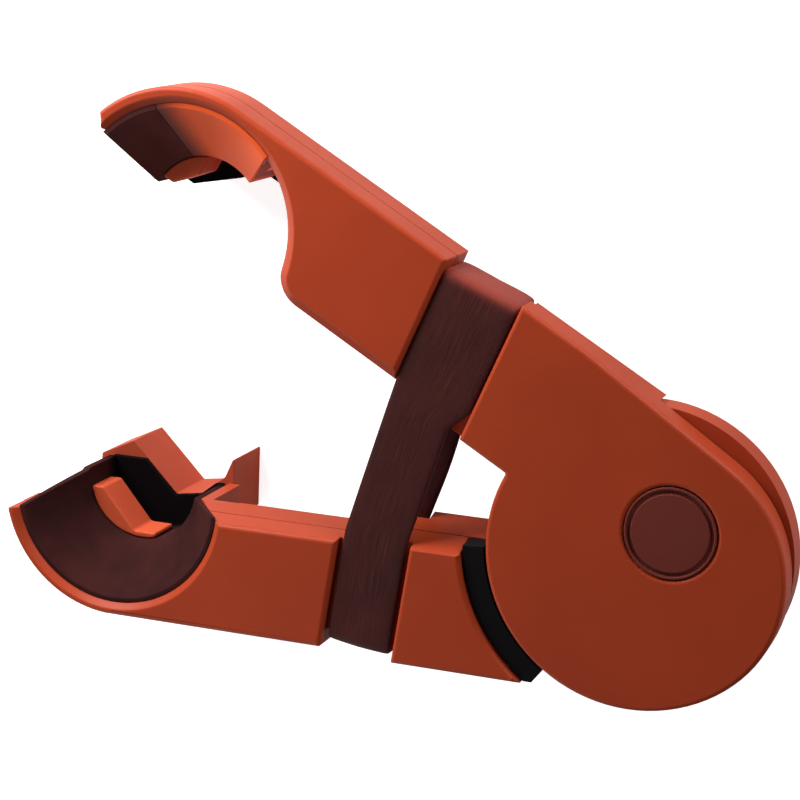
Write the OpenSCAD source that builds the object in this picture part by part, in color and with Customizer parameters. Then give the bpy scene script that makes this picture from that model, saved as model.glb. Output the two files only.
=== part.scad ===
// Spring clamp: two cupped jaws on hinged arms, pulled together by a rubber band.
// Lies on its back: Z up, the front faces look up, the pivot axis is the Z axis,
// the lower arm runs along -X and the floor is Z = 0. Millimetres.

/* [Arms] */
// Distance from the pivot to the centre of the jaw cup
reach = 83.5; // [74:0.5:100]
// Angle between the two arms as the clamp stands open
open_angle = 30; // [20:1:40]
// Thickness of an arm, two half shells together
arm_thick = 10; // [9:0.5:13]
// Distance from the arm axis to its outer edge between the cup and the band
outer_edge = 20; // [19.6:0.1:20.6]
// Set-back of the lower arm's inner edge from the arm axis
lower_setback = 2.3; // [1.5:0.1:3.4]
// Set-back of the upper arm's inner edge from the arm axis
upper_setback = 0.2; // [0.1:0.1:3]

/* [Pivot] */
// Radius of the round discs at the hinge
disc_r = 22.3; // [20.5:0.1:23]
// Width of the curved gap between the front disc and the lower arm
arc_gap = 4; // [2:0.1:4.6]
// Radius of the steel pivot pin
pin_r = 3; // [2:0.25:4]

/* [Jaws] */
// Radius of the cup at the front face
cup_r = 17.1; // [15:0.1:18.5]
// Distance of the sloping grip faces from the jaw's middle line
grip_r = 6.3; // [5:0.1:7]
// Depth of a jaw from the front face to the end of its collar
jaw_depth = 31; // [28:0.5:36]

/* [Band] */
// Distance from the pivot to the middle of the band on the lower arm
band_at = 39.4; // [37:0.2:42]
// Width of the rubber band
band_w = 9.8; // [7:0.2:11]
// Thickness of the rubber band
band_t = 1.2; // [0.8:0.1:1.4]
// Lean of the band channel from square across the arm
band_lean = 7.5; // [0:0.5:10]

/* [Hidden] */
$fn = 96;

// small shared values
eps = 0.01;
snug = 0.05;
running_gap = 0.3;
fit_clearance = 0.05;

// heights: the floor is 0, the front faces are at the top
front_z = jaw_depth;
seam_z = front_z - arm_thick / 2;
back_z = front_z - arm_thick;

// cup and collar
rim_chamfer = 0.9;
cone_end = 10;
lip_wall = 0.8;
liner_wall = 1.2;
bore_r = 9.3;
collar_wall = 1.9;
sleeve_r = bore_r + liner_wall;
cup_floor = arm_thick - 1;
lower_nose = [1.4, 18.8];
upper_nose = [-0.7, 19.7];
mouth_tip = 5.2;
mouth_end = cone_end + 0.7;
// middle of a cup from the jaw's middle line, its mouth's set-back at the neck, its radius
lower_jaw = [1.2, -1.2, 2.4, cup_r];
upper_jaw = [0, 0, 3.7, cup_r + 0.9];
lower_tip_cut = 2;
upper_tip_cut = 1.4;
tip_lean = 35;
neck_chamfer = 1.7;
neck_round = 5;
neck_low = 2.5;
neck_low_from = 9;
upper_lining_end = 292;
grip_slope = 49.5;
front_pad_at = 10.6;
front_pad_len = 6.6;
// each grip pad: its end along the arm, its top and its flat bottom
lower_pad = [3.4, -2.9, -9.4];
upper_pad = [-4.2, -1.2, -8.35];
// wing of a rear block beside the neck, then the notches, tip side first
wing_root = -8.5;
wing_top = 1.4;
lower_notch = [[-5.4, 2.6], [2.5, -5.3], [7.1, -4.6], [10.8, -1.6], [12.1, wing_top]];
upper_notch = [[-7.4, 0.2], [-0.9, -5.4], [-0.2, -8.3], [16, -8.3]];
block_at = 20.5;
floor_t = 1.1;
block_wall_x = 12.4;
lining_end = block_at - snug - floor_t;
lining_split = 43;
lower_lining = [165, 375];
facing_gap = 0.2;

// arms
edge_step = 0.9;
rear_edge_in = 1.2;
lower_root = -0.5;
upper_front_root = -1;
upper_rear_root = 0.9;
upper_rear_setback = upper_setback + 0.9;
lower_bevel = 0.8;
root_bevel = 3.4;
disc_taper = 3.6;
blend_drop = 2.3;
lower_front_end_r = disc_r + arc_gap;
rear_disc_r = disc_r - 0.6;
rear_end_r = disc_r;

// band channels, and how far a channel is wider than the band at its tip and pivot side
band_start = 2;
upper_band_at = band_at - 0.8;
lower_play = [0.75, 0.7];
upper_play = [0.2, 2.6];
// the band spreads on the upper arm: by how much, and over what length
band_spread = upper_play[1] - 0.3;
spread_len = 5;
channel_depth = 1.9;
notch_depth = 1.7;
band_lift = 0.1;

// pivot stack
pin_seat = 3.2;
bush_wall = 1.5;
washer_t = 0.8;
washer_r = pin_r + 6;
hub_r = pin_r + 6.5;
hub_recess_r = hub_r - 2.2;
hub_recess_depth = 5;
rear_washer_t = 0.8;
clip_t = 0.7;
clip_groove = 0.5;
cap_t = 1.4;
pin_end_z = cap_t + 0.5;

// black strip in the curved gap
strip_w = arc_gap - 0.7;
strip_r = disc_r + 0.4 + strip_w / 2;
strip_floor = 1.6;
strip_sunk = 0.9;
strip_from = 3;
strip_to = 55;
strip_inset = 0.2;

// blank badge on the front disc
badge_r = 6.7;
badge_x = 4.8;
badge_y = 4.7;
badge_t = 0.9;
badge_groove_r = 6.3;
badge_groove_w = 0.6;
badge_groove_depth = 0.35;

// screws that close each arm
screw_near = 29;
screw_far = 57;
screw_v = 12;
screw_r = 1.25;
screw_head_r = 2.4;
screw_head_t = 1.8;
screw_len = arm_thick - 4.5;

shell_col = [0.70, 0.27, 0.13];
rubber_col = [0.22, 0.13, 0.14];
steel_col = [0.72, 0.73, 0.75];
brass_col = [0.75, 0.60, 0.32];
dark_col = [0.10, 0.09, 0.10];

// the upper arm is the lower arm mirrored and swung open
module upper_place() {
    rotate([0, 0, -open_angle])
        mirror([0, 1, 0])
            children();
}

// distance along the arm from the jaw's middle line to the cup's edge at a set-back
function cup_side(jaw, set_back, way) =
    jaw[0] + way * sqrt(cup_r * cup_r - pow(set_back + jaw[1], 2));

// flat outline of an arm and the nose of its jaw, outer side towards -Y
module arm_plan(end_r, setback, root, nose, edge_in, jaw, tip_cut) {
    neck_u = reach - cup_side(jaw, jaw[2], 1);
    tip_u = reach - cup_side(jaw, mouth_tip, -1) + tip_cut;
    past = 9;
    difference() {
        union() {
            polygon([
                [0, -root],
                [-band_at, -root],
                [-band_at, -setback],
                [-neck_u, -setback],
                [-neck_u, -jaw[2]],
                [-(reach - nose[0]), -jaw[2]],
                [-(reach - nose[0]), -outer_edge],
                [-(band_at + 2), -outer_edge],
                [-(band_at + 2), -outer_edge - edge_step + edge_in],
                [0, -outer_edge - edge_step + edge_in]
            ]);
            intersection() {
                translate([-(reach - nose[0]), nose[1] - outer_edge])
                    circle(r = nose[1], $fn = 180);
                polygon([
                    [-neck_u, -jaw[2]],
                    [-tip_u, -mouth_tip],
                    [-tip_u - past * sin(tip_lean), -mouth_tip - past * cos(tip_lean)],
                    [-tip_u - past * sin(tip_lean), -3 * cup_r],
                    [-neck_u, -3 * cup_r]
                ]);
            }
        }
        circle(r = end_r);
    }
}

// collar behind the arm, round the liner sleeve
module collar_outside(depth_from, depth_to, jaw) {
    lip = 0.8;
    fall = 5.8;
    translate([-reach, 0, front_z])
        mirror([0, 0, 1])
            intersection() {
                translate([jaw[0], jaw[1], 0])
                    intersection() {
                        rotate_extrude()
                            polygon([
                                [0, cup_floor],
                                [sleeve_r + collar_wall, cup_floor],
                                [sleeve_r + collar_wall, block_at],
                                [0, block_at]
                            ]);
                        linear_extrude(jaw_depth)
                            polygon([
                                [-sleeve_r + lip, 2 * sleeve_r],
                                [-sleeve_r + lip, 0],
                                [-2 * sleeve_r, -fall],
                                [-2 * sleeve_r, -2 * sleeve_r],
                                [2 * sleeve_r, -2 * sleeve_r],
                                [2 * sleeve_r, 2 * sleeve_r]
                            ]);
                    }
                jaw_half(depth_from, depth_to, jaw);
            }
}

// keeps the outer half of a turned jaw part, set back at the mouth
module jaw_half(depth_from, depth_to, jaw) {
    big = 60;
    intersection() {
        union() {
            rotate([90, 0, 90])
                translate([0, 0, -big])
                    linear_extrude(big)
                        polygon([
                            [-big, -1],
                            [-mouth_tip, -1],
                            [-mouth_tip, 0],
                            [0, mouth_end],
                            [0, jaw_depth + 1],
                            [-big, jaw_depth + 1]
                        ]);
            rotate([90, 0, 90])
                linear_extrude(big)
                    polygon([
                        [-big, -1],
                        [-jaw[2], -1],
                        [-jaw[2], 0],
                        [-neck_low, neck_low_from],
                        [-neck_low, jaw_depth + 1],
                        [-big, jaw_depth + 1]
                    ]);
        }
        translate([-big, -big, depth_from])
            cube([2 * big, 2 * big, depth_to - depth_from]);
    }
}

// hollow of the cup, the liner sleeve and the collar
module jaw_hollow(jaw) {
    translate([jaw[0] - reach, jaw[1], front_z])
        mirror([0, 0, 1])
            rotate_extrude()
                polygon([
                    [0, -1],
                    [jaw[3] + rim_chamfer, -1],
                    [jaw[3] + rim_chamfer, 0],
                    [jaw[3], rim_chamfer],
                    [sleeve_r, cone_end],
                    [sleeve_r, jaw_depth + 1],
                    [0, jaw_depth + 1]
                ]);
}

// clears the neck side of the upper cup, in front of the rear grip block
module neck_relief() {
    translate([-reach, 0, front_z - block_at])
        rotate([0, 0, upper_lining_end])
            rotate_extrude(angle = 85)
                polygon([
                    [0, 0],
                    [cup_r, 0],
                    [cup_r, block_at - neck_chamfer],
                    [cup_r + neck_chamfer, block_at],
                    [cup_r + neck_chamfer, block_at + 1],
                    [0, block_at + 1]
                ]);
}

// rounds the corner between the upper cup and the inner edge of its arm
module neck_corner_cut(setback) {
    core_share = 0.85;
    past = 2;
    down = setback + neck_round;
    along = sqrt(pow(cup_r + neck_round, 2) - down * down);
    inside = core_share * cup_r / (cup_r + neck_round);
    translate([-reach, 0, 0])
        difference() {
            linear_extrude(front_z + 1)
                polygon([
                    [along, -down],
                    [along * inside, -down * inside],
                    [along * inside, past],
                    [along, past]
                ]);
            translate([along, -down, 0]) {
                cylinder(r = neck_round, h = front_z - neck_chamfer);
                translate([0, 0, front_z - neck_chamfer])
                    cylinder(r1 = neck_round, r2 = neck_round - neck_chamfer - 1,
                        h = neck_chamfer + 1);
            }
        }
}

// slants the inner edge of the upper arm at its front face, from the neck to the band
module inner_chamfer(setback) {
    down = setback + neck_round;
    along = sqrt(pow(cup_r + neck_round, 2) - down * down);
    translate([along - snug - reach, 0, 0])
        rotate([90, 0, 90])
            linear_extrude(reach - along - band_at)
                polygon([
                    [-setback, front_z - neck_chamfer],
                    [-setback - neck_chamfer - 1, front_z + 1],
                    [outer_edge, front_z + 1],
                    [outer_edge, front_z - neck_chamfer]
                ]);
}

// slanted inner face of the lower arm, further back at the front face
module inner_bevel() {
    for (p = [
        [band_at, reach - cup_r + 4, lower_setback + lower_bevel, lower_setback],
        [0, band_at, lower_root + root_bevel, lower_root]
    ])
        translate([-p[1], 0, 0])
            rotate([90, 0, 90])
                linear_extrude(p[1] - p[0])
                    polygon([
                        [-p[2], front_z],
                        [-p[2], front_z + 1],
                        [outer_edge, front_z + 1],
                        [outer_edge, back_z],
                        [-p[3], back_z]
                    ]);
}

// channels for the rubber band on both faces and the notch in the outer edge
module band_cut(at, play) {
    long = 2 * outer_edge;
    tip_side = -band_w / 2 - play[0];
    wide = band_w + play[0] + play[1];
    translate([-at, -band_start, 0])
        rotate([0, 0, -band_lean]) {
            translate([tip_side, -long, front_z - channel_depth])
                cube([wide, long + 6, channel_depth + 1]);
            translate([tip_side, -long, back_z - 1])
                cube([wide, long + 6, channel_depth + 1]);
            translate([tip_side, -long, back_z - 1])
                cube([wide, long - band_run(), arm_thick + 2]);
        }
}

// length of a channel from the mouth side to the bottom of the notch
function band_run() = (outer_edge - notch_depth - band_start) / cos(band_lean);

// length of the band's own run, clear of the notch by its lift
band_end = band_run() + band_lift + band_t;

// clearance hole and head recess from the back, pilot hole in the front shell
module screw_holes() {
    for (u = [screw_near, screw_far])
        translate([-u, -screw_v, back_z]) {
            translate([0, 0, -1])
                cylinder(r = screw_head_r + 0.3, h = screw_head_t + 1.3);
            cylinder(r = screw_r + snug, h = screw_len + screw_head_t + 0.5);
        }
}

module screws() {
    for (u = [screw_near, screw_far])
        translate([-u, -screw_v, back_z + 0.3]) {
            cylinder(r = screw_head_r, h = screw_head_t);
            cylinder(r = screw_r, h = screw_head_t + screw_len);
        }
}

// half of an arm between two depths, with its share of the jaw
module arm_part(from_depth, to_depth, arm_to_depth, end_r, setback, root, nose, edge_in,
        jaw, tip_cut, at, play) {
    difference() {
        union() {
            translate([0, 0, front_z - arm_to_depth])
                linear_extrude(arm_to_depth - from_depth)
                    arm_plan(end_r, setback, root, nose, edge_in, jaw, tip_cut);
            if (to_depth > arm_to_depth)
                collar_outside(from_depth, to_depth, jaw);
        }
        jaw_hollow(jaw);
        band_cut(at, play);
        screw_holes();
    }
}

module lower_arm_front_shell() {
    color(shell_col)
        difference() {
            arm_part(0, arm_thick / 2, arm_thick / 2, lower_front_end_r, lower_setback,
                lower_root, lower_nose, 0, lower_jaw, lower_tip_cut, band_at, lower_play);
            inner_bevel();
        }
}

module lower_arm_rear_shell() {
    color(shell_col)
        difference() {
            union() {
                difference() {
                    arm_part(arm_thick / 2 + snug, jaw_depth, arm_thick, disc_r - 1,
                        lower_setback, lower_root, lower_nose, rear_edge_in, lower_jaw,
                        lower_tip_cut, band_at, lower_play);
                    inner_bevel();
                }
                translate([0, 0, back_z])
                    cylinder(r = rear_disc_r, h = arm_thick / 2 - running_gap);
                cylinder(r = hub_r, h = back_z + 1);
            }
            translate([0, 0, seam_z - running_gap - washer_t])
                cylinder(r = washer_r + snug, h = washer_t + running_gap + 1);
            arc_plan_extruded(back_z + strip_floor, front_z, strip_r - strip_w / 2 - snug,
                strip_r + strip_w / 2 + snug);
            translate([0, 0, -1])
                cylinder(r = pin_r + bush_wall + snug, h = front_z);
            translate([0, 0, -1])
                cylinder(r = hub_recess_r, h = hub_recess_depth + 1);
        }
}

// arc-shaped space between the front disc and the lower arm
module arc_plan_extruded(z_from, z_to, r_in, r_out) {
    translate([0, 0, z_from])
        rotate([0, 0, 180 + strip_from])
            rotate_extrude(angle = strip_to - strip_from)
                translate([r_in, 0])
                    square([r_out - r_in, z_to - z_from]);
}

// black strip that closes the curved gap, cut off short of the arm's outer edge
module gap_strip() {
    color(dark_col)
        intersection() {
            arc_plan_extruded(back_z + strip_floor, front_z - strip_sunk,
                strip_r - strip_w / 2, strip_r + strip_w / 2);
            translate([-2 * disc_r, -outer_edge - edge_step + strip_inset, 0])
                cube([2 * disc_r, 2 * disc_r, front_z]);
        }
}

module upper_arm_front_shell() {
    color(shell_col)
        upper_place()
            difference() {
                union() {
                    arm_part(0, arm_thick / 2, arm_thick / 2, disc_r - 1,
                        upper_setback, upper_front_root, upper_nose, 0, upper_jaw,
                        upper_tip_cut, upper_band_at, upper_play);
                    translate([0, 0, seam_z])
                        cylinder(r = disc_r, h = arm_thick / 2);
                }
                edge_taper();
                neck_relief();
                neck_corner_cut(upper_setback);
                inner_chamfer(upper_setback);
                translate([0, 0, seam_z - 1])
                    cylinder(r = pin_r, h = pin_seat + 1);
                mirror([0, 1, 0])
                    rotate([0, 0, open_angle])
                        badge_pocket();
            }
}

// draws the outer edge of the front shell in towards the disc and blends it into the rim
module edge_taper() {
    edge = outer_edge + edge_step;
    hub = [disc_r * cos(disc_taper) + edge * sin(disc_taper),
        edge * cos(disc_taper) - disc_r * sin(disc_taper)];
    blend_r = disc_r - blend_drop;
    aside = sqrt(blend_drop * blend_drop - pow(hub[1] - blend_r, 2));
    meet = hub + [aside, blend_r - hub[1]] * disc_r / blend_drop;
    past = 5;
    translate([-disc_r, -edge, seam_z - 1])
        rotate([0, 0, disc_taper]) {
            translate([-disc_r, -disc_r, 0])
                cube([4 * disc_r, disc_r, arm_thick]);
            linear_extrude(arm_thick)
                difference() {
                    polygon([
                        [hub[0] + aside, 0],
                        [hub[0] + aside, -past],
                        [meet[0] + past, -past],
                        [meet[0] + past, meet[1]],
                        meet
                    ]);
                    translate([hub[0] + aside, blend_r])
                        circle(r = blend_r);
                }
        }
}

module badge_pocket() {
    translate([badge_x, badge_y, front_z - badge_t])
        cylinder(r = badge_r + snug, h = badge_t + 1);
}

module upper_arm_rear_shell() {
    color(shell_col)
        upper_place()
            difference() {
                arm_part(arm_thick / 2 + snug, jaw_depth, arm_thick, rear_end_r,
                    upper_rear_setback, upper_rear_root, upper_nose, rear_edge_in,
                    upper_jaw, upper_tip_cut, upper_band_at, upper_play);
                neck_relief();
                neck_corner_cut(upper_rear_setback);
            }
}

// funnel-shaped lining of the cup with its sleeve, between two angles round the cup
module cup_lining(from_angle, to_angle, end_depth, jaw) {
    translate([-reach, 0, front_z])
        mirror([0, 0, 1])
            intersection() {
                translate([jaw[0], jaw[1], 0])
                    rotate([0, 0, from_angle])
                        rotate_extrude(angle = to_angle - from_angle)
                            polygon([
                                [jaw[3] - snug, rim_chamfer],
                                [sleeve_r - snug, cone_end],
                                [sleeve_r - snug, end_depth],
                                [bore_r, end_depth],
                                [bore_r, cone_end],
                                [jaw[3] - lip_wall, rim_chamfer]
                            ]);
                jaw_half(0, jaw_depth, jaw);
            }
}

// pad inside the liner sleeve: one sloping grip face and a flat bottom
module front_pad(pad, jaw) {
    end_x = pad[0];
    top_y = pad[1];
    floor_y = pad[2];
    lean = [cos(grip_slope), -sin(grip_slope)];
    foot = [-grip_r * sin(grip_slope), -grip_r * cos(grip_slope)];
    far = 9;
    near = (foot[1] - floor_y) / sin(grip_slope);
    big = 2 * bore_r;
    color(shell_col)
        translate([-reach, 0, front_z - front_pad_at - front_pad_len])
            linear_extrude(front_pad_len)
                intersection() {
                    translate([jaw[0], jaw[1]])
                        circle(r = bore_r - snug);
                    polygon([foot - far * lean, foot + near * lean, [big, floor_y],
                        [big, -big], [-big, -big], [-big, 0]]);
                    polygon([[end_x, top_y], [end_x, -big], [-big, -big], [-big, top_y]]);
                }
}

module notch_plan(notch) {
    last = len(notch) - 1;
    polygon(concat(notch, [[notch[last][0], 30], [notch[0][0], 30]]));
}

// block behind the collar with a notch for the work
module rear_block(notch, jaw) {
    outer_r = sleeve_r + collar_wall;
    color(shell_col)
        translate([-reach, 0, 0])
            linear_extrude(front_z - block_at - snug)
                difference() {
                    union() {
                        intersection() {
                            translate([jaw[0], jaw[1]])
                                circle(r = outer_r);
                            polygon([
                                notch[0],
                                [-outer_r, -0.8],
                                [-outer_r, -2 * outer_r],
                                [block_wall_x, -2 * outer_r],
                                [block_wall_x, -1],
                                [0, notch[0][1]]
                            ]);
                        }
                        polygon([
                            [0, wing_root],
                            [block_wall_x, wing_root],
                            [block_wall_x, wing_top],
                            [0, wing_top]
                        ]);
                    }
                    notch_plan(notch);
                }
}

// floor of the lining in front of the rear block, with the block's notch
module lining_floor(notch, jaw) {
    translate([-reach, 0, front_z])
        mirror([0, 0, 1])
            difference() {
                intersection() {
                    translate([jaw[0], jaw[1], lining_end])
                        cylinder(r = bore_r + liner_wall / 2, h = floor_t);
                    jaw_half(0, jaw_depth, jaw);
                }
                linear_extrude(jaw_depth)
                    notch_plan(notch);
            }
}

module lower_cup_liner() {
    color(rubber_col)
        union() {
            cup_lining(lower_lining[0], lower_lining[1], lining_end + snug, lower_jaw);
            lining_floor(lower_notch, lower_jaw);
        }
}

module upper_cup_liner() {
    color(rubber_col)
        upper_place() {
            cup_lining(180, 270 - lining_split, lining_end + snug, upper_jaw);
            lining_floor(upper_notch, upper_jaw);
        }
}

// the rest of the upper funnel, in the colour of the arm
module upper_cup_facing() {
    color(shell_col)
        upper_place()
            cup_lining(270 - lining_split + facing_gap, upper_lining_end - facing_gap,
                lining_end - snug, upper_jaw);
}

module lower_front_grip_pad() {
    front_pad(lower_pad, lower_jaw);
}

module lower_rear_grip_block() {
    rear_block(lower_notch, lower_jaw);
}

module upper_front_grip_pad() {
    upper_place()
        front_pad(upper_pad, upper_jaw);
}

module upper_rear_grip_block() {
    upper_place()
        rear_block(upper_notch, upper_jaw);
}

// a point of the band's own frame, the band's middle at a distance from the pivot
function band_point(p, at) = [
    -at + p[0] * cos(band_lean) + p[1] * sin(band_lean),
    -band_start - p[0] * sin(band_lean) + p[1] * cos(band_lean)
];

function on_lower(p) = band_point(p, band_at);

// the same on the upper arm
function on_upper(p) = let(q = band_point(p, upper_band_at)) [
    q[0] * cos(open_angle) - q[1] * sin(open_angle),
    -q[0] * sin(open_angle) - q[1] * cos(open_angle)
];

// outline of the band in plan, from one outer notch to the other
module band_plan(half, end) {
    polygon([
        on_lower([-half, -end]),
        on_lower([half, -end]),
        on_lower([half, 0]),
        on_upper([half, 0]),
        on_upper([half + band_spread, -spread_len]),
        on_upper([half + band_spread, -end]),
        on_upper([-half, -end]),
        on_upper([-half, 0]),
        on_lower([-half, 0])
    ]);
}

// one closed loop, hollow between its two runs
module rubber_band() {
    top_z = front_z - channel_depth + band_lift + band_t;
    low_z = back_z + channel_depth - band_lift - band_t;
    color(rubber_col)
        difference() {
            translate([0, 0, low_z])
                linear_extrude(top_z - low_z)
                    band_plan(band_w / 2, band_end);
            translate([0, 0, low_z + band_t])
                linear_extrude(top_z - low_z - 2 * band_t)
                    band_plan(band_w / 2 + 1, band_end - band_t);
        }
}

module pivot_pin() {
    groove_z = hub_recess_depth - rear_washer_t - fit_clearance - clip_t;
    color(steel_col)
        difference() {
            translate([0, 0, pin_end_z])
                cylinder(r = pin_r - eps, h = seam_z + pin_seat - pin_end_z - snug);
            translate([0, 0, groove_z - snug])
                difference() {
                    cylinder(r = pin_r + 1, h = clip_t + 2 * snug);
                    cylinder(r = pin_r - clip_groove, h = clip_t + 2 * snug);
                }
        }
}

module pivot_bush() {
    color(brass_col)
        translate([0, 0, hub_recess_depth])
            difference() {
                cylinder(r = pin_r + bush_wall, h = bush_len());
                translate([0, 0, -1])
                    cylinder(r = pin_r + fit_clearance, h = bush_len() + 2);
            }
}

function bush_len() = seam_z - running_gap - washer_t - hub_recess_depth;

module thrust_washer() {
    color(dark_col)
        translate([0, 0, seam_z - running_gap - washer_t])
            difference() {
                cylinder(r = washer_r, h = washer_t + running_gap - snug);
                translate([0, 0, -1])
                    cylinder(r = pin_r + fit_clearance, h = washer_t + 3);
            }
}

module rear_washer() {
    color(steel_col)
        translate([0, 0, hub_recess_depth - rear_washer_t])
            difference() {
                cylinder(r = hub_recess_r - 0.8, h = rear_washer_t);
                translate([0, 0, -1])
                    cylinder(r = pin_r + fit_clearance, h = rear_washer_t + 2);
            }
}

module retaining_ring() {
    ring_z = hub_recess_depth - rear_washer_t - fit_clearance - clip_t;
    color(steel_col)
        translate([0, 0, ring_z])
            linear_extrude(clip_t)
                difference() {
                    circle(r = pin_r + 1.9);
                    circle(r = pin_r - clip_groove + snug);
                    translate([0, -pin_r / 2 - 0.2])
                        square([pin_r + 3, pin_r + 0.4]);
                }
}

module hub_cap() {
    color(dark_col)
        cylinder(r = hub_recess_r - snug, h = cap_t);
}

// plain round badge, its ring groove is the only mark
module blank_badge() {
    color(shell_col)
        translate([badge_x, badge_y, front_z - badge_t])
            difference() {
                cylinder(r = badge_r, h = badge_t);
                translate([0, 0, badge_t - badge_groove_depth])
                    difference() {
                        cylinder(r = badge_groove_r, h = 1);
                        cylinder(r = badge_groove_r - badge_groove_w, h = 1);
                    }
            }
}

module lower_arm_screws() {
    color(steel_col)
        screws();
}

module upper_arm_screws() {
    color(steel_col)
        upper_place()
            screws();
}

lower_arm_front_shell();
lower_arm_rear_shell();
upper_arm_front_shell();
upper_arm_rear_shell();
lower_cup_liner();
upper_cup_liner();
upper_cup_facing();
lower_front_grip_pad();
lower_rear_grip_block();
upper_front_grip_pad();
upper_rear_grip_block();
rubber_band();
pivot_pin();
pivot_bush();
thrust_washer();
rear_washer();
retaining_ring();
hub_cap();
gap_strip();
blank_badge();
lower_arm_screws();
upper_arm_screws();
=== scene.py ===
import math

import bmesh
import bpy
import numpy as np
from mathutils import Matrix, Vector


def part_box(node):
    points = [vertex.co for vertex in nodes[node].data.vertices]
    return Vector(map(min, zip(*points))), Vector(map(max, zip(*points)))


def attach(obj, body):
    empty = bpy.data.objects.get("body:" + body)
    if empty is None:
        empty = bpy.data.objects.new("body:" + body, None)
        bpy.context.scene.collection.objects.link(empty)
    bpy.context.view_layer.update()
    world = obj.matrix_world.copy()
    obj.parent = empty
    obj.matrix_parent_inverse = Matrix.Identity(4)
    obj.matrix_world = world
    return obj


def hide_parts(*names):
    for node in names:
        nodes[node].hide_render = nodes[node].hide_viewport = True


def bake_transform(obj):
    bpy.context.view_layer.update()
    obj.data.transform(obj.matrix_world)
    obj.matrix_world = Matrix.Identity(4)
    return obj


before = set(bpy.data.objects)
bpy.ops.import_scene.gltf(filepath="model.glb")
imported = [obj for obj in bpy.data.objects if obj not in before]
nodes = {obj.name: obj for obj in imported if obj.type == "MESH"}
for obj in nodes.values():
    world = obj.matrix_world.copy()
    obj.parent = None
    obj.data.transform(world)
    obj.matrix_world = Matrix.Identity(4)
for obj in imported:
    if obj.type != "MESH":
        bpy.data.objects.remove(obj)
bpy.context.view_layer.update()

# ---------------------------------------------------------------- viewpoint
# A long lens looks down on the clamp, which lies on its back, a little from
# the hinge side, so the front faces and the insides of both jaws are seen.
view_place = Vector((0.070955, 0.091626, 0.332242))
view_right = Vector((0.93868, 0.03788, -0.34269)).normalized()
view_back = Vector((0.32663, 0.22051, 0.91907)).normalized()
view_up = view_back.cross(view_right).normalized()
camera = bpy.data.objects.new("camera", bpy.data.cameras.new("camera"))
camera.data.lens = 101.95
camera.data.sensor_width = 36.0
camera.data.clip_start = 0.01
camera.matrix_world = Matrix((
    (view_right.x, view_up.x, view_back.x, view_place.x),
    (view_right.y, view_up.y, view_back.y, view_place.y),
    (view_right.z, view_up.z, view_back.z, view_place.z),
    (0, 0, 0, 1)))
bpy.context.scene.collection.objects.link(camera)
bpy.context.scene.camera = camera
bpy.context.scene.view_settings.view_transform = "Standard"

# ---------------------------------------------------------------- bench and lamps
# A pale bench top under the clamp. One small lamp stands low and close to the
# jaws, upper left, so the light falls away towards the hinge. A weak one from
# below and a dim white room fill the shadows, and one behind lights the edges.
bench_mat = bpy.data.materials.new("white_bench")
bench_mat.use_nodes = True
tree = bench_mat.node_tree
bench_skin = tree.nodes["Principled BSDF"]
bench_skin.inputs["Base Color"].default_value = (0.6, 0.6, 0.6, 1)
bench_skin.inputs["Roughness"].default_value = 0.9
seen = tree.nodes.new("ShaderNodeLightPath")
glow = tree.nodes.new("ShaderNodeEmission")
glow.inputs["Color"].default_value = (1, 1, 1, 1)
to_camera = tree.nodes.new("ShaderNodeMath")
to_camera.operation = "MULTIPLY"
to_camera.inputs[1].default_value = 0.8
tree.links.new(seen.outputs["Is Camera Ray"], to_camera.inputs[0])
to_gloss = tree.nodes.new("ShaderNodeMath")
to_gloss.operation = "MULTIPLY_ADD"
to_gloss.inputs[1].default_value = 0.04
tree.links.new(seen.outputs["Is Glossy Ray"], to_gloss.inputs[0])
tree.links.new(to_camera.outputs[0], to_gloss.inputs[2])
tree.links.new(to_gloss.outputs[0], glow.inputs["Strength"])
both = tree.nodes.new("ShaderNodeAddShader")
tree.links.new(bench_skin.outputs[0], both.inputs[0])
tree.links.new(glow.outputs[0], both.inputs[1])
tree.links.new(both.outputs[0], tree.nodes["Material Output"].inputs["Surface"])

bench_half = 3.0
bench_mesh = bpy.data.meshes.new("bench")
bench_mesh.from_pydata(
    [(-bench_half, -bench_half, 0), (bench_half, -bench_half, 0),
     (bench_half, bench_half, 0), (-bench_half, bench_half, 0)],
    [], [(0, 1, 2, 3)])
bench = bpy.data.objects.new("bench", bench_mesh)
bench.data.materials.append(bench_mat)
bpy.context.scene.collection.objects.link(bench)

room = bpy.data.worlds.new("white_room")
bpy.context.scene.world = room
room.use_nodes = True
room_light = room.node_tree.nodes["Background"]
room_light.inputs["Color"].default_value = (1, 1, 1, 1)
room_light.inputs["Strength"].default_value = 0.10


def lamp(name, place, target, side, watts):
    """A square area lamp at place, aimed at target."""
    data = bpy.data.lights.new(name, "AREA")
    data.size = side
    data.energy = watts
    lit = bpy.data.objects.new(name, data)
    lit.location = place
    aim = Vector(place) - Vector(target)
    lit.rotation_euler = aim.to_track_quat("Z", "Y").to_euler()
    bpy.context.scene.collection.objects.link(lit)


lamp("jaw_lamp", (-0.165, 0.155, 0.085), (-0.06, 0.01, 0.025), 0.12, 0.75)
lamp("low_fill", (-0.24, -0.26, 0.15), (-0.06, 0.02, 0.03), 0.30, 0.75)
lamp("edge_lamp", (0.17, 0.25, 0.06), (-0.01, 0.02, 0.02), 0.16, 0.9)


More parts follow.
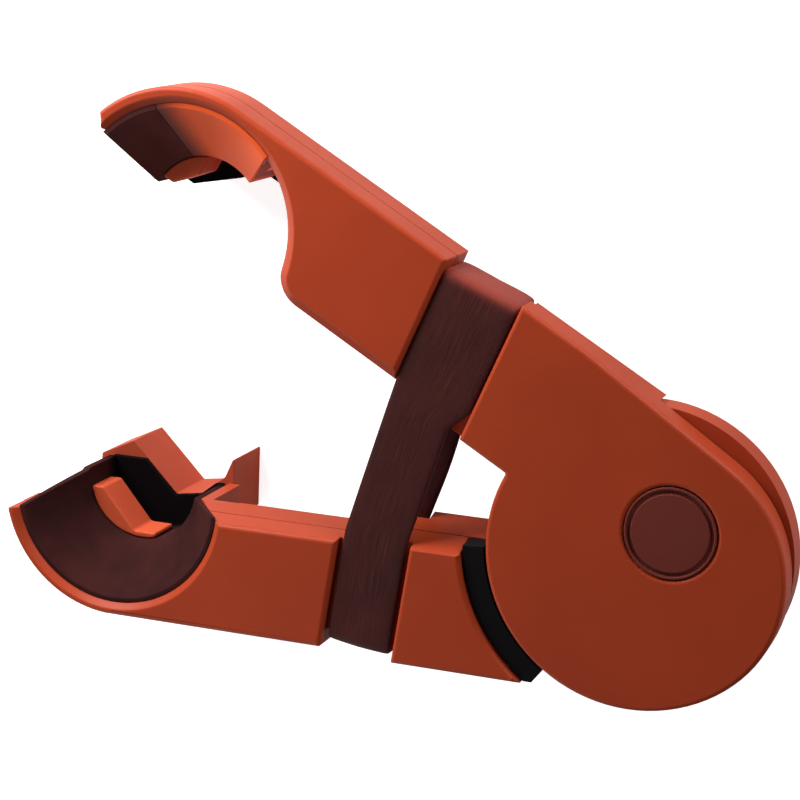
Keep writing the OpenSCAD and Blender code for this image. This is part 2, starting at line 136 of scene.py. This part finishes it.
# ---------------------------------------------------------------- arm shells
# Each arm is two half shells of orange-red nylon, injection moulded and
# closed by screws from behind. The moulds leave a fine satin grain.
def moulded_grain():
    """Node group: slow colour drift, fine grain height and a roughness mask."""
    group = bpy.data.node_groups.new("moulded_grain", "ShaderNodeTree")
    add = group.interface.new_socket
    add(name="Colour", in_out="INPUT", socket_type="NodeSocketColor")
    add(name="Deep colour", in_out="INPUT", socket_type="NodeSocketColor")
    add(name="Drift scale", in_out="INPUT", socket_type="NodeSocketFloat")
    add(name="Grain scale", in_out="INPUT", socket_type="NodeSocketFloat")
    add(name="Roughness", in_out="INPUT", socket_type="NodeSocketFloat")
    add(name="Colour", in_out="OUTPUT", socket_type="NodeSocketColor")
    add(name="Roughness", in_out="OUTPUT", socket_type="NodeSocketFloat")
    add(name="Height", in_out="OUTPUT", socket_type="NodeSocketFloat")
    n, link = group.nodes, group.links.new
    source, sink = n.new("NodeGroupInput"), n.new("NodeGroupOutput")
    place = n.new("ShaderNodeTexCoord")
    drift = n.new("ShaderNodeTexNoise")
    drift.inputs["Detail"].default_value = 4
    link(place.outputs["Object"], drift.inputs["Vector"])
    link(source.outputs["Drift scale"], drift.inputs["Scale"])
    ramp = n.new("ShaderNodeMapRange")
    ramp.inputs["From Min"].default_value = 0.35
    ramp.inputs["From Max"].default_value = 0.72
    link(drift.outputs["Fac"], ramp.inputs["Value"])
    tint = n.new("ShaderNodeMix")
    tint.data_type = "RGBA"
    link(ramp.outputs["Result"], tint.inputs["Factor"])
    link(source.outputs["Colour"], tint.inputs["A"])
    link(source.outputs["Deep colour"], tint.inputs["B"])
    link(tint.outputs["Result"], sink.inputs["Colour"])
    grain = n.new("ShaderNodeTexNoise")
    grain.inputs["Detail"].default_value = 2
    link(place.outputs["Object"], grain.inputs["Vector"])
    link(source.outputs["Grain scale"], grain.inputs["Scale"])
    link(grain.outputs["Fac"], sink.inputs["Height"])
    rough = n.new("ShaderNodeMath")
    rough.operation = "MULTIPLY_ADD"
    rough.inputs[1].default_value = 0.12
    link(drift.outputs["Fac"], rough.inputs[0])
    link(source.outputs["Roughness"], rough.inputs[2])
    link(rough.outputs[0], sink.inputs["Roughness"])
    return group


grain_group = moulded_grain()


def satin(name, colour, deep, roughness, drift=60.0, grain=2600.0, bump=0.05, shine=0.08):
    """A moulded or rubbery finish from the grain group and a principled shader."""
    mat = bpy.data.materials.new(name)
    mat.use_nodes = True
    t = mat.node_tree
    skin = t.nodes["Principled BSDF"]
    g = t.nodes.new("ShaderNodeGroup")
    g.node_tree = grain_group
    g.inputs["Colour"].default_value = (*colour, 1)
    g.inputs["Deep colour"].default_value = (*deep, 1)
    g.inputs["Drift scale"].default_value = drift
    g.inputs["Grain scale"].default_value = grain
    g.inputs["Roughness"].default_value = roughness
    bumps = t.nodes.new("ShaderNodeBump")
    bumps.inputs["Strength"].default_value = bump
    bumps.inputs["Distance"].default_value = 0.0002
    t.links.new(g.outputs["Colour"], skin.inputs["Base Color"])
    t.links.new(g.outputs["Roughness"], skin.inputs["Roughness"])
    t.links.new(g.outputs["Height"], bumps.inputs["Height"])
    t.links.new(bumps.outputs["Normal"], skin.inputs["Normal"])
    skin.inputs["Specular IOR Level"].default_value = shine
    return mat


def moulded_copy(node, mat, edge, body, outline=0.0, faces_at=(), cup=None, steps=3):
    """The solid of a node, its triangles merged, with radii on its sharp edges.

    An edge gets the radius outline where it joins a wall to a flat face at one of
    the heights faces_at, and the radius edge elsewhere and on the thin rim round
    the cup, which is within cup_rim_reach of the point cup. With no outline radius
    the others shrink where they would meet.
    """
    mesh = nodes[node].data.copy()
    mesh.name = node + "_moulded"
    work = bmesh.new()
    work.from_mesh(mesh)
    bmesh.ops.remove_doubles(work, verts=work.verts, dist=1e-6)
    bmesh.ops.dissolve_limit(work, angle_limit=math.radians(1.0), verts=work.verts,
                             edges=work.edges)
    weight = work.edges.layers.float.new("bevel_weight_edge")
    sharp = math.radians(28.0)
    widest = max(edge, outline)
    for rim in work.edges:
        if len(rim.link_faces) != 2 or rim.calc_face_angle(0.0) < sharp:
            continue
        start, end = rim.verts[0].co, rim.verts[1].co
        height = (start.z + end.z) / 2
        level = abs(start.z - end.z) < 1e-6
        flat = max(abs(face.normal.z) for face in rim.link_faces) > 0.99
        upright = min(abs(face.normal.z) for face in rim.link_faces) < 0.1
        on_face = any(abs(height - at) < 2e-5 for at in faces_at)
        middle = (start.xy + end.xy) / 2
        if cup is not None and (middle - Vector(cup)).length < cup_rim_reach:
            on_face = False
        rim[weight] = (outline if level and flat and upright and on_face else edge) / widest
    for face in work.faces:
        face.smooth = True
    work.to_mesh(mesh)
    work.free()
    mesh.materials.clear()
    mesh.materials.append(mat)
    piece = bpy.data.objects.new(node + "_moulded", mesh)
    bpy.context.scene.collection.objects.link(piece)
    rounding = piece.modifiers.new("edge_radius", "BEVEL")
    rounding.width = widest
    rounding.segments = steps
    rounding.limit_method = "WEIGHT"
    rounding.use_clamp_overlap = outline == 0.0
    rounding.miter_outer = "MITER_ARC"
    piece.modifiers.new("flat_faces", "WEIGHTED_NORMAL").keep_sharp = False
    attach(piece, body)
    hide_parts(node)


front_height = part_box("lower_arm_front_shell")[1][2]
arm_thickness = 0.010
back_height = front_height - arm_thickness
shell_edge = 0.0002
shell_outline = 0.0007
cup_rim_reach = 0.0215
cup_middle = {"lower_arm": (-0.0823, -0.0012), "upper_arm": None}
nylon = satin("orange_nylon", (0.37, 0.046, 0.015), (0.33, 0.040, 0.013), 0.36, shine=0.11)
for body, slot in (("lower_arm", "lower_plastic"), ("upper_arm", "upper_plastic")):
    moulded_copy(body + "_front_shell", nylon, shell_edge, body, outline=shell_outline,
                 faces_at=(front_height, back_height), cup=cup_middle[body])
    moulded_copy(body + "_rear_shell", nylon, shell_edge, body)

# ---------------------------------------------------------------- cup linings
# Soft dark rubber pressed into each cup, with a funnel, a sleeve and a floor.
# The upper cup's rubber is painted lighter, as painted light in its shade. Both
# blacken towards the floor, as painted shade in the deep recess. The orange side
# of the upper funnel is painted bright, as painted light, and takes up the dark
# rubber colour where it meets the rubber, as a painted shadow.
# Painted light: the upper cup's rubber is the same rubber painted about twice as light as the
# lower's, lifting it out of its shade.
lightened_cup_rubber_brown = (0.085, 0.0260, 0.0230)
lower_rubber = satin("cup_rubber", (0.040, 0.0110, 0.0100), (0.024, 0.0080, 0.0085), 0.8,
                     drift=170.0, shine=0.02)
upper_rubber_lightened = satin("upper_cup_rubber_lightened", lightened_cup_rubber_brown, (0.055, 0.0180, 0.0180), 0.8,
                     drift=170.0, shine=0.02)
# Painted light: the facing is the shells' orange nylon painted about twice as bright.
facing_nylon_lit_and_shaded = satin("facing_nylon_lit_and_shaded", (0.74, 0.096, 0.022), (0.66, 0.084, 0.019), 0.42,
                     shine=0.10)
# Painted shade: near black mixed into both rubbers towards each cup's floor, where the deep
# recess lies in shadow.
painted_shade_black = (0.004, 0.0028, 0.0034)
floor_height = front_height - 0.0193
shade_fade_depth = 0.0035
jaw_reach = 0.0835
open_angle = math.radians(30.0)
split_angle = math.radians(227.0)
split_shade_band = (-0.0005, 0.0050)


def swung_open(x, y):
    """A point of the lower arm's plan, mirrored in the X axis and swung to the upper arm."""
    return (x * math.cos(open_angle) - y * math.sin(open_angle),
            -x * math.sin(open_angle) - y * math.cos(open_angle))


def fade(mat, along, origin, near, far, colour):
    """Mixes in colour by a soft step between two distances along a direction."""
    t = mat.node_tree
    skin = t.nodes["Principled BSDF"]
    place = t.nodes.new("ShaderNodeTexCoord")
    away = t.nodes.new("ShaderNodeVectorMath")
    away.operation = "SUBTRACT"
    away.inputs[1].default_value = origin
    t.links.new(place.outputs["Object"], away.inputs[0])
    reach = t.nodes.new("ShaderNodeVectorMath")
    reach.operation = "DOT_PRODUCT"
    reach.inputs[1].default_value = along
    t.links.new(away.outputs["Vector"], reach.inputs[0])
    step = t.nodes.new("ShaderNodeMapRange")
    step.interpolation_type = "SMOOTHSTEP"
    step.inputs["From Min"].default_value = near
    step.inputs["From Max"].default_value = far
    t.links.new(reach.outputs["Value"], step.inputs["Value"])
    tint = t.nodes.new("ShaderNodeMix")
    tint.data_type = "RGBA"
    tint.inputs["A"].default_value = (*colour, 1)
    t.links.new(step.outputs["Result"], tint.inputs["Factor"])
    t.links.new(skin.inputs["Base Color"].links[0].from_socket, tint.inputs["B"])
    t.links.new(tint.outputs["Result"], skin.inputs["Base Color"])


# Painted shade: each rubber turns near black towards the floor of its cup.
for rubber in (lower_rubber, upper_rubber_lightened):
    fade(rubber, (0, 0, 1), (0, 0, floor_height), 0.0, shade_fade_depth, painted_shade_black)
upper_cup = (*swung_open(-jaw_reach, 0), 0)
past_split = (*swung_open(-math.sin(split_angle), math.cos(split_angle)), 0)
# Painted shadow: the facing darkens to the rubber colour in a soft band beside the rubber.
fade(facing_nylon_lit_and_shaded, past_split, upper_cup, *split_shade_band, lightened_cup_rubber_brown)
moulded_copy("lower_cup_liner", lower_rubber, 0.00025, "lower_arm")
moulded_copy("upper_cup_liner", upper_rubber_lightened, 0.00010, "upper_arm")
moulded_copy("upper_cup_facing", facing_nylon_lit_and_shaded, 0.00010, "upper_arm")

# ---------------------------------------------------------------- grip pads and blocks
# Notched blocks of the same nylon hold the work behind each cup. The small front
# pads are painted a brighter orange than the rear blocks, as painted light.
# Painted light: the pads are the same nylon painted brighter, where the lamp catches them.
pad_nylon_painted_light = satin("pad_nylon_painted_light", (0.54, 0.086, 0.036), (0.48, 0.072, 0.029), 0.42)
block_nylon = satin("grip_nylon", (0.38, 0.060, 0.028), (0.32, 0.048, 0.022), 0.42)
grip_edge = 0.00035
for side in ("lower", "upper"):
    for grip, mat in (("_front_grip_pad", pad_nylon_painted_light), ("_rear_grip_block", block_nylon)):
        moulded_copy(side + grip, mat, grip_edge, side + "_arm")

# ---------------------------------------------------------------- rubber band
# A flat purple-brown rubber band, cut from a tube, stretched round both arms in
# their channels. It lies loosely on the far side, where it bows out a little.
band_low, band_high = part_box("rubber_band")
band_width = 0.0098
band_spread = 0.0023
spread_length = 0.0050
spread_ahead = 0.0045
band_thick = 0.0012
band_lean = math.radians(7.5)
lower_middle = np.array([-0.0394, -0.0020])
upper_middle = np.array([-0.0386, -0.0020])
outer_turn = -0.01714
rear_bow = 0.0003
line_softness = 0.0005
lean_softness = 0.0020
turn_softness = 0.0008
section_power = 0.45
ripple_height = 0.00004
band_rows = 400


def on_lower_arm(across, along, middle=lower_middle):
    """Channel coordinates of the lower arm, turned by the lean, as points of the plan."""
    turn = np.array([[math.cos(band_lean), -math.sin(band_lean)],
                     [math.sin(band_lean), math.cos(band_lean)]])
    return middle + np.array([across, along]) @ turn


def on_upper_arm(across, along):
    """The same about the upper middle, mirrored in the X axis and swung open."""
    return np.array(swung_open(*on_lower_arm(across, along, upper_middle)))


def softened(track, reach, spacing):
    """Each row becomes the Gaussian mean of the rows around it on the closed track."""
    span = np.arange(-int(4 * reach / spacing), int(4 * reach / spacing) + 1)
    share = np.exp(-0.5 * (span * spacing / reach) ** 2)
    around = np.stack([np.roll(track, -k, axis=0) for k in span])
    return np.tensordot(share / share.sum(), around, axes=1)


def stretched_band():
    """A closed flat loop: a rounded strip section carried along the band's middle line.

    The middle line runs straight between eight corners, softened by a Gaussian. The
    section at angle t is (a |cos t|^p, b |sin t|^p) with signs kept. On the upper arm
    its side towards the pivot is drawn out by a soft step. The second result is 1 on
    the two turns round the arms' outer edges and falls off as exp(-(d / softness)^2).
    """
    half = band_thick / 2
    front, rear = band_high[2] - half, band_low[2] + half
    corner = [(on_lower_arm(0, outer_turn), front), (on_lower_arm(0, 0), front),
              (on_upper_arm(0, 0), front), (on_upper_arm(0, outer_turn), front),
              (on_upper_arm(0, outer_turn), rear), (on_upper_arm(0, 0), rear),
              (on_lower_arm(0, 0), rear), (on_lower_arm(0, outer_turn), rear)]
    corner = np.array([[*plan, height] for plan, height in corner])
    lower_side = on_lower_arm(1, 0) - on_lower_arm(0, 0)
    upper_side = on_upper_arm(1, 0) - on_upper_arm(0, 0)
    side = np.array([lower_side, lower_side, upper_side, upper_side,
                     upper_side, upper_side, lower_side, lower_side])
    ahead = np.roll(corner, -1, axis=0)
    length = np.concatenate([[0.0], np.cumsum(np.linalg.norm(ahead - corner, axis=1))])
    at = np.linspace(0.0, length[-1], band_rows, endpoint=False)
    line = np.stack([np.interp(at, length, np.append(corner[:, k], corner[0, k]))
                     for k in range(3)], axis=1)
    wide = np.stack([np.interp(at, length, np.append(side[:, k], side[0, k]))
                     for k in range(2)], axis=1)
    spacing = length[-1] / band_rows
    line = softened(line, line_softness, spacing)
    wide = softened(wide, lean_softness, spacing)
    wide = np.column_stack([wide / np.linalg.norm(wide, axis=1)[:, None], np.zeros(band_rows)])
    free = np.clip((at - length[5]) / (length[6] - length[5]), 0, 1)
    line += wide * (rear_bow * np.sin(np.pi * free) ** 2)[:, None]
    way = np.roll(line, -1, axis=0) - np.roll(line, 1, axis=0)
    way -= wide * (way * wide).sum(axis=1)[:, None]
    way /= np.linalg.norm(way, axis=1)[:, None]
    out = np.cross(wide, way)
    t = np.linspace(0, 2 * np.pi, 40, endpoint=False)
    across = band_width / 2 * np.sign(np.cos(t)) * np.abs(np.cos(t)) ** section_power
    thick = half * np.sign(np.sin(t)) * np.abs(np.sin(t)) ** section_power
    ripple = ripple_height * np.sin(at * 620 + 1.3)[:, None] * np.cos(across * 900)[None, :]
    held = (np.minimum(at - length[2], length[5] - at) + spread_ahead) / spread_length
    held = np.clip(held, 0, 1)
    spread = band_spread * held ** 2 * (3 - 2 * held)
    across = across + spread[:, None] * (across / band_width + 0.5)
    points = (line[:, None, :] + across[:, :, None] * wide[:, None, :]
              + (thick[None, :] + ripple)[:, :, None] * out[:, None, :])
    turns = np.stack([np.abs(at - (a + b) / 2) - (b - a) / 2
                      for a, b in (length[3:5], length[7:9])])
    on_turn = np.exp(-(turns.clip(0).min(axis=0) / turn_softness) ** 2)
    return points, on_turn


def smooth_piece(name, mesh, mat):
    """A mesh as a smooth-shaded object of the scene, in one material."""
    mesh.polygons.foreach_set("use_smooth", np.ones(len(mesh.polygons), bool))
    mesh.materials.append(mat)
    piece = bpy.data.objects.new(name, mesh)
    bpy.context.scene.collection.objects.link(piece)
    return piece


def closed_grid(name, points, mat):
    """A mesh whose grid of points closes on itself both ways."""
    rows, columns = points.shape[:2]
    i, j = np.meshgrid(np.arange(rows), np.arange(columns), indexing="ij")
    i2, j2 = (i + 1) % rows, (j + 1) % columns
    quads = np.stack([i * columns + j, i * columns + j2, i2 * columns + j2, i2 * columns + j],
                     axis=-1)
    mesh = bpy.data.meshes.new(name)
    mesh.from_pydata(points.reshape(-1, 3), [], quads.reshape(-1, 4))
    return smooth_piece(name, mesh, mat)


band_rubber = satin("band_rubber", (0.052, 0.0120, 0.0110), (0.034, 0.0095, 0.0100), 0.5,
                    drift=120.0, shine=0.09)


def add_streaks(mat):
    """Long pale streaks and fine ribs that follow the band, and the turns painted lighter and
    redder, as painted light.
    """
    t = mat.node_tree
    skin = t.nodes["Principled BSDF"]
    run = t.nodes.new("ShaderNodeUVMap")
    run.uv_map = "along_band"
    stretch = t.nodes.new("ShaderNodeMapping")
    stretch.inputs["Scale"].default_value = (0.9, 34.0, 1.0)
    t.links.new(run.outputs["UV"], stretch.inputs["Vector"])
    streak = t.nodes.new("ShaderNodeTexNoise")
    streak.inputs["Scale"].default_value = 22.0
    streak.inputs["Detail"].default_value = 5
    t.links.new(stretch.outputs["Vector"], streak.inputs["Vector"])
    worn = t.nodes.new("ShaderNodeMapRange")
    worn.inputs["From Min"].default_value = 0.42
    worn.inputs["From Max"].default_value = 0.75
    worn.inputs["To Max"].default_value = 0.75
    t.links.new(streak.outputs["Fac"], worn.inputs["Value"])
    blend = t.nodes.new("ShaderNodeMix")
    blend.data_type = "RGBA"
    blend.inputs["B"].default_value = (0.110, 0.027, 0.021, 1)
    base = skin.inputs["Base Color"].links[0].from_socket
    t.links.new(worn.outputs["Result"], blend.inputs["Factor"])
    t.links.new(base, blend.inputs["A"])
    # Painted light: the turns round the arms' outer edges are painted lighter and redder, where
    # the lamp catches them.
    turn = t.nodes.new("ShaderNodeAttribute")
    turn.attribute_name = "on_turn"
    turn_painted_light = t.nodes.new("ShaderNodeMix")
    turn_painted_light.data_type = "RGBA"
    turn_painted_light.inputs["B"].default_value = (0.230, 0.038, 0.026, 1)
    t.links.new(turn.outputs["Fac"], turn_painted_light.inputs["Factor"])
    t.links.new(blend.outputs["Result"], turn_painted_light.inputs["A"])
    t.links.new(turn_painted_light.outputs["Result"], skin.inputs["Base Color"])
    bump = skin.inputs["Normal"].links[0].from_node
    t.links.new(streak.outputs["Fac"], bump.inputs["Height"])
    bump.inputs["Strength"].default_value = 0.35
    bump.inputs["Distance"].default_value = 0.0002


add_streaks(band_rubber)
band_points, band_turn = stretched_band()
band = closed_grid("rubber_band_stretched", band_points, band_rubber)
vertex = np.empty(len(band.data.loops), dtype=np.int32)
band.data.loops.foreach_get("vertex_index", vertex)
rows, columns = band_points.shape[:2]
face = np.arange(len(vertex)) // 4
row = np.where(vertex // columns < face // columns, rows, vertex // columns)
column = np.where(vertex % columns < face % columns, columns, vertex % columns)
band_uv = np.stack([row / rows, column / columns], axis=1)
band.data.uv_layers.new(name="along_band").data.foreach_set("uv", band_uv.ravel())
band.data.attributes.new("on_turn", "FLOAT", "POINT").data.foreach_set(
    "value", np.repeat(band_turn, columns))
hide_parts("rubber_band")
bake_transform(band)

# ---------------------------------------------------------------- hinge stack
# A zinc-plated steel pin turns in a brass bush with steel and black nylon
# washers, held by a spring-steel ring in the hub at the back.
steel = satin("zinc_steel", (0.60, 0.61, 0.63), (0.50, 0.51, 0.54), 0.28,
              drift=400.0, shine=0.5)
brass = satin("turned_brass", (0.62, 0.42, 0.16), (0.52, 0.34, 0.12), 0.30,
              drift=400.0, shine=0.5)
for metal in (steel, brass):
    metal.node_tree.nodes["Principled BSDF"].inputs["Metallic"].default_value = 1.0
black = satin("black_nylon", (0.0040, 0.0030, 0.0042), (0.0030, 0.0024, 0.0032), 0.6)
turned_edge = 0.00012
for node, mat, body, slot in (
        ("pivot_pin", steel, "upper_arm", "steel"),
        ("pivot_bush", brass, "lower_arm", "bush_brass"),
        ("thrust_washer", black, "lower_arm", "black_plastic"),
        ("rear_washer", steel, "lower_arm", "steel"),
        ("retaining_ring", steel, "upper_arm", "steel")):
    moulded_copy(node, mat, turned_edge, body, steps=2)

# ---------------------------------------------------------------- hub cap
# A round black nylon cap pressed into the hub at the back. It has a bevelled
# rim, a ring groove and a shallow dished middle.
cap_radius, _, cap_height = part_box("hub_cap")[1]
mm = 0.001


def turned(profile, steps=96):
    """Points of a profile of (radius, height) turned once round the Z axis."""
    angle = np.linspace(0, 2 * np.pi, steps, endpoint=False)
    radius, height = profile[:, 0], profile[:, 1]
    return np.stack([np.outer(radius, np.cos(angle)), np.outer(radius, np.sin(angle)),
                     np.repeat(height[:, None], steps, axis=1)], axis=-1)


def pole_grid(name, points, mat):
    """A mesh of rings of points, closed round, with a fan at both ends."""
    rings, steps = points.shape[:2]
    i, j = np.meshgrid(np.arange(rings - 1), np.arange(steps), indexing="ij")
    j2 = (j + 1) % steps
    quads = np.stack([i * steps + j, i * steps + j2, (i + 1) * steps + j2, (i + 1) * steps + j],
                     axis=-1).reshape(-1, 4)
    poles = points[[0, -1]].mean(axis=1)
    ring = np.arange(steps)
    first, last = rings * steps, rings * steps + 1
    start_fan = np.stack([np.full(steps, first), np.roll(ring, -1), ring], axis=1)
    end_ring = (rings - 1) * steps + ring
    end_fan = np.stack([np.full(steps, last), end_ring, np.roll(end_ring, -1)], axis=1)
    mesh = bpy.data.meshes.new(name)
    mesh.from_pydata(np.vstack([points.reshape(-1, 3), poles]), [],
                     quads.tolist() + start_fan.tolist() + end_fan.tolist())
    work = bmesh.new()
    work.from_mesh(mesh)
    bmesh.ops.recalc_face_normals(work, faces=work.faces)
    work.to_mesh(mesh)
    work.free()
    return smooth_piece(name, mesh, mat)


cap_profile = np.array([
    (0.15 * mm, 0.30 * mm), (2.6 * mm, 0.30 * mm), (2.75 * mm, 0.28 * mm), (3.0 * mm, 0.02 * mm),
    (3.2 * mm, 0.0), (4.9 * mm, 0.0), (5.0 * mm, 0.05 * mm), (5.05 * mm, 0.35 * mm),
    (5.55 * mm, 0.35 * mm), (5.6 * mm, 0.05 * mm), (5.7 * mm, 0.0),
    (cap_radius - 0.35 * mm, 0.0), (cap_radius - 0.1 * mm, 0.1 * mm), (cap_radius, 0.35 * mm),
    (cap_radius, cap_height - 0.1 * mm), (cap_radius - 0.1 * mm, cap_height),
    (0.15 * mm, cap_height)])
cap = pole_grid("hub_cap_pressed", turned(cap_profile), black)
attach(cap, "lower_arm")
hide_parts("hub_cap")

# ---------------------------------------------------------------- gap strip and badge
# A matt black strip lies deep in the curved gap beside the disc, as painted shade
# for the gap's shadow. The disc holds a round darker badge, plain but for its ring groove.
# Painted shade: the black strip stands in for the shadow deep in the gap.
moulded_copy("gap_strip", black, turned_edge, "lower_arm", steps=2)
maroon = satin("maroon_badge", (0.150, 0.028, 0.020), (0.120, 0.023, 0.017), 0.45)
moulded_copy("blank_badge", maroon, 0.00015, "upper_arm", steps=2)

# ---------------------------------------------------------------- screws
# Four zinc-plated cheese-head screws close the arms from the back. Each head
# has a pressed cross recess.
head_radius = 0.0024
head_height = 0.0018
shank_radius = 0.00125
shank_end = 0.0071
tip_radius = 0.0006
tip_end = 0.0073
recess_reach = 0.00145
recess_half_width = 0.00036
recess_depth = 0.0011
recess_softness = 0.00004


def screw_points(place):
    """A turned screw, head down, whose head face has a cross-shaped recess.

    The recess depth is d times the larger of two bars, each a product of smooth
    steps in |x| and |y|, and grows towards the middle.
    """
    face = np.linspace(0.02 * mm, head_radius - 0.15 * mm, 40)
    rim = np.array([(head_radius, 0.2 * mm), (head_radius, head_height),
                    (shank_radius, head_height), (shank_radius, shank_end),
                    (tip_radius, tip_end)])
    profile = np.vstack([np.column_stack([face, np.zeros(len(face))]), rim])
    points = turned(profile, steps=80)

    def inside(distance, limit):
        return 1 / (1 + np.exp((distance - limit) / recess_softness))

    x, y = np.abs(points[..., 0]), np.abs(points[..., 1])
    bar = np.maximum(inside(x, recess_reach) * inside(y, recess_half_width),
                     inside(y, recess_reach) * inside(x, recess_half_width))
    deep = recess_depth * bar * (1 - 0.45 * np.hypot(x, y) / recess_reach).clip(0, 1)
    on_head = (np.arange(len(profile)) < len(face))[:, None]
    points[..., 2] += np.where(on_head, deep, 0.0)
    return points + np.array(place)


screw_reaches = (0.029, 0.057)
screw_offset = 0.012
screw_height = back_height + 0.0003
for arm in ("lower_arm", "upper_arm"):
    for reach in screw_reaches:
        plan = (-reach, -screw_offset)
        if arm == "upper_arm":
            plan = swung_open(*plan)
        screw = pole_grid(f"{arm}_screw_{round(reach / mm)}",
                          screw_points((*plan, screw_height)), steel)
        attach(screw, arm)
        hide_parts(arm + "_screws")
